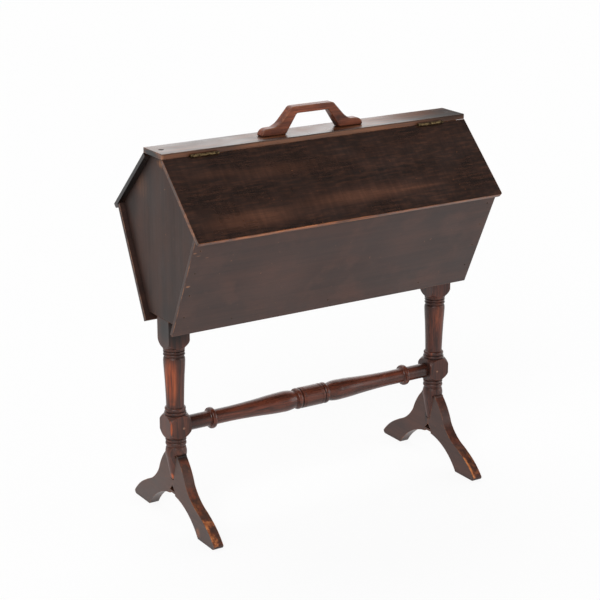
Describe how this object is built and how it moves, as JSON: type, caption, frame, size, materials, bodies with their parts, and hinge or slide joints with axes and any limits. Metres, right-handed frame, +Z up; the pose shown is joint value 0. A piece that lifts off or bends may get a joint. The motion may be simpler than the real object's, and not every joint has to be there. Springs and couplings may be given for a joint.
{
  "type": "sewing box on a trestle stand",
  "caption": "Long six-sided wooden sewing box with two hinged sloping lids and a carrying handle, on turned trestle posts with a turned stretcher and bracket feet.",
  "frame": {"origin": "on the floor, under the middle of the box", "axes": "+Z up, +X along the box to the right, +Y from the front lid to the back lid"},
  "size_m": [0.6, 0.2934, 0.696],
  "materials": {
    "top_wood": "dark reddish brown stain, worn satin varnish",
    "handle_wood": "reddish brown varnish, rubbed lighter on the arrises",
    "side_wood": "dark grey-brown stain, satin",
    "end_wood": "dark grey-brown stain, satin",
    "inner_wood": "dusty brown stain, unpolished",
    "lid_wood": "very dark brown stain with rubbed reddish streaks, satin",
    "turned_wood": "reddish brown varnish, semi-gloss",
    "foot_wood": "reddish brown varnish worn through to orange wood at the toes",
    "dowel_wood": "plain",
    "plug_wood": "nearly black",
    "brass": "dull aged brass",
    "steel": "dull dark steel"
  },
  "bodies": {
    "stand": {"top_board": "top_wood", "handle": "handle_wood", "front_panel": "side_wood", "back_panel": "side_wood", "left_end_panel": "end_wood", "right_end_panel": "end_wood", "bottom_board": "inner_wood", "left_post": "turned_wood", "right_post": "turned_wood", "stretcher": "turned_wood", "left_front_foot": "foot_wood", "left_back_foot": "foot_wood", "right_front_foot": "foot_wood", "right_back_foot": "foot_wood", "foot_dowels": "dowel_wood", "stretcher_pegs": "dowel_wood", "post_screws": "steel", "handle_screws": "steel", "top_screws": "steel", "top_plugs": "plug_wood", "panel_nails": "steel", "board_hinge_leaves": "brass", "hinge_pins": "brass", "board_hinge_screws": "brass"},
    "front_lid": {"front_lid": "lid_wood", "front_lid_hinge_leaves": "brass", "front_lid_hinge_screws": "brass"},
    "back_lid": {"back_lid": "lid_wood", "back_lid_hinge_leaves": "brass", "back_lid_hinge_screws": "brass"}
  },
  "joints": [
    {"name": "front_lid_hinge", "type": "hinge", "parent": "stand", "child": "front_lid", "pos_m": [0, -0.0354, 0.64305], "axis": [-1, 0, 0], "range_deg": [0, 148]},
    {"name": "back_lid_hinge", "type": "hinge", "parent": "stand", "child": "back_lid", "pos_m": [0, 0.0354, 0.64305], "axis": [1, 0, 0], "range_deg": [0, 148]}
  ]
}
